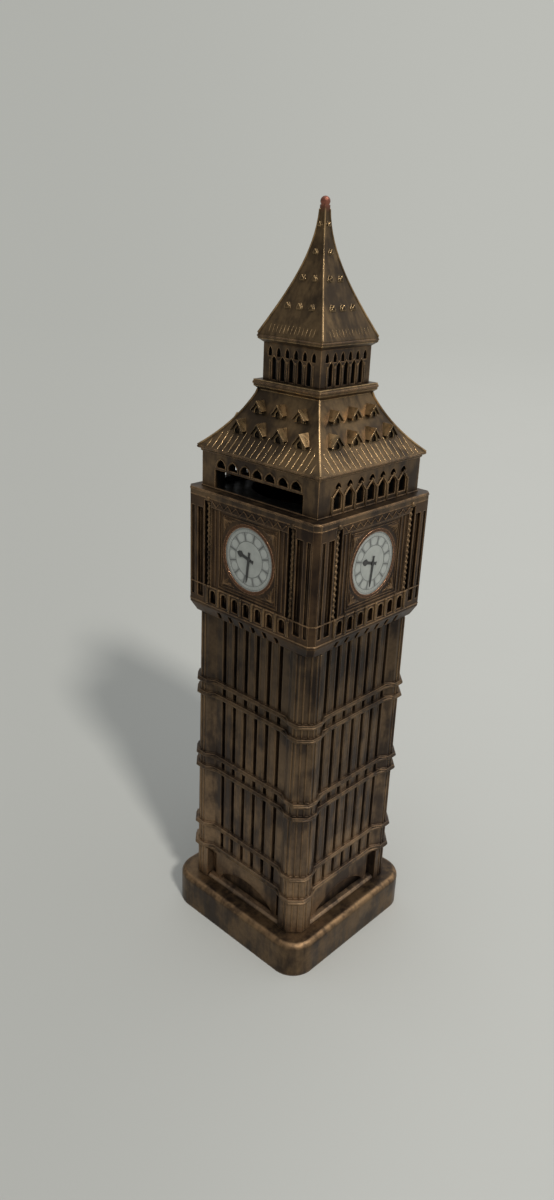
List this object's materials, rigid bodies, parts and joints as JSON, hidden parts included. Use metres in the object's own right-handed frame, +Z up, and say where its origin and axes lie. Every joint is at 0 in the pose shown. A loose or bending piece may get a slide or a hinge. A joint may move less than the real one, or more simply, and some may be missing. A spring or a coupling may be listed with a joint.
{
  "type": "miniature clock tower coin bank",
  "caption": "Small cast metal clock tower with ribbed shaft, dials, pierced arcades and curved roofs; a coin slot in the belfry and a plug under the plinth make it a bank.",
  "frame": {"origin": "middle of the plinth's underside, on the table", "axes": "+Z up the tower; -Y is the side with the coin slot; +X is its right-hand side seen from the front"},
  "size_m": [0.046, 0.046, 0.18],
  "materials": {
    "antique_bronze": "copper plate under dark lacquer, edges rubbed back to copper",
    "roof_bronze": "copper plate under thinner lacquer, edges rubbed back to gold",
    "copper_rim": "polished copper plate",
    "dial_print": "satin disc with grey and black print",
    "steel": "bright zinc",
    "plug_plastic": "moulded matt black"
  },
  "bodies": {
    "tower": {"plinth": "antique_bronze", "shaft": "antique_bronze", "clock_stage": "antique_bronze", "belfry": "antique_bronze", "lower_roof": "roof_bronze", "lantern": "antique_bronze", "spire": "roof_bronze", "dial_front": "dial_print", "dial_right": "dial_print", "dial_back": "dial_print", "dial_left": "dial_print", "bezel_front": "copper_rim", "bezel_right": "copper_rim", "bezel_back": "copper_rim", "bezel_left": "copper_rim", "plinth_screws": "steel", "stage_screws": "steel", "belfry_screws": "steel", "tie_rod": "steel", "tie_washer": "steel", "tie_nut": "steel"},
    "plug": {"coin_plug": "plug_plastic"},
    "ring": {"pull_ring": "steel"}
  },
  "joints": [
    {"name": "plug_pull", "type": "slide", "parent": "tower", "child": "plug", "axis": [0, 0, -1], "range_m": [0, 0.012]},
    {"name": "ring_fold", "type": "hinge", "parent": "plug", "child": "ring", "pos_m": [0, 0.007, 0.0075], "axis": [1, 0, 0], "range_deg": [0, 90]}
  ]
}
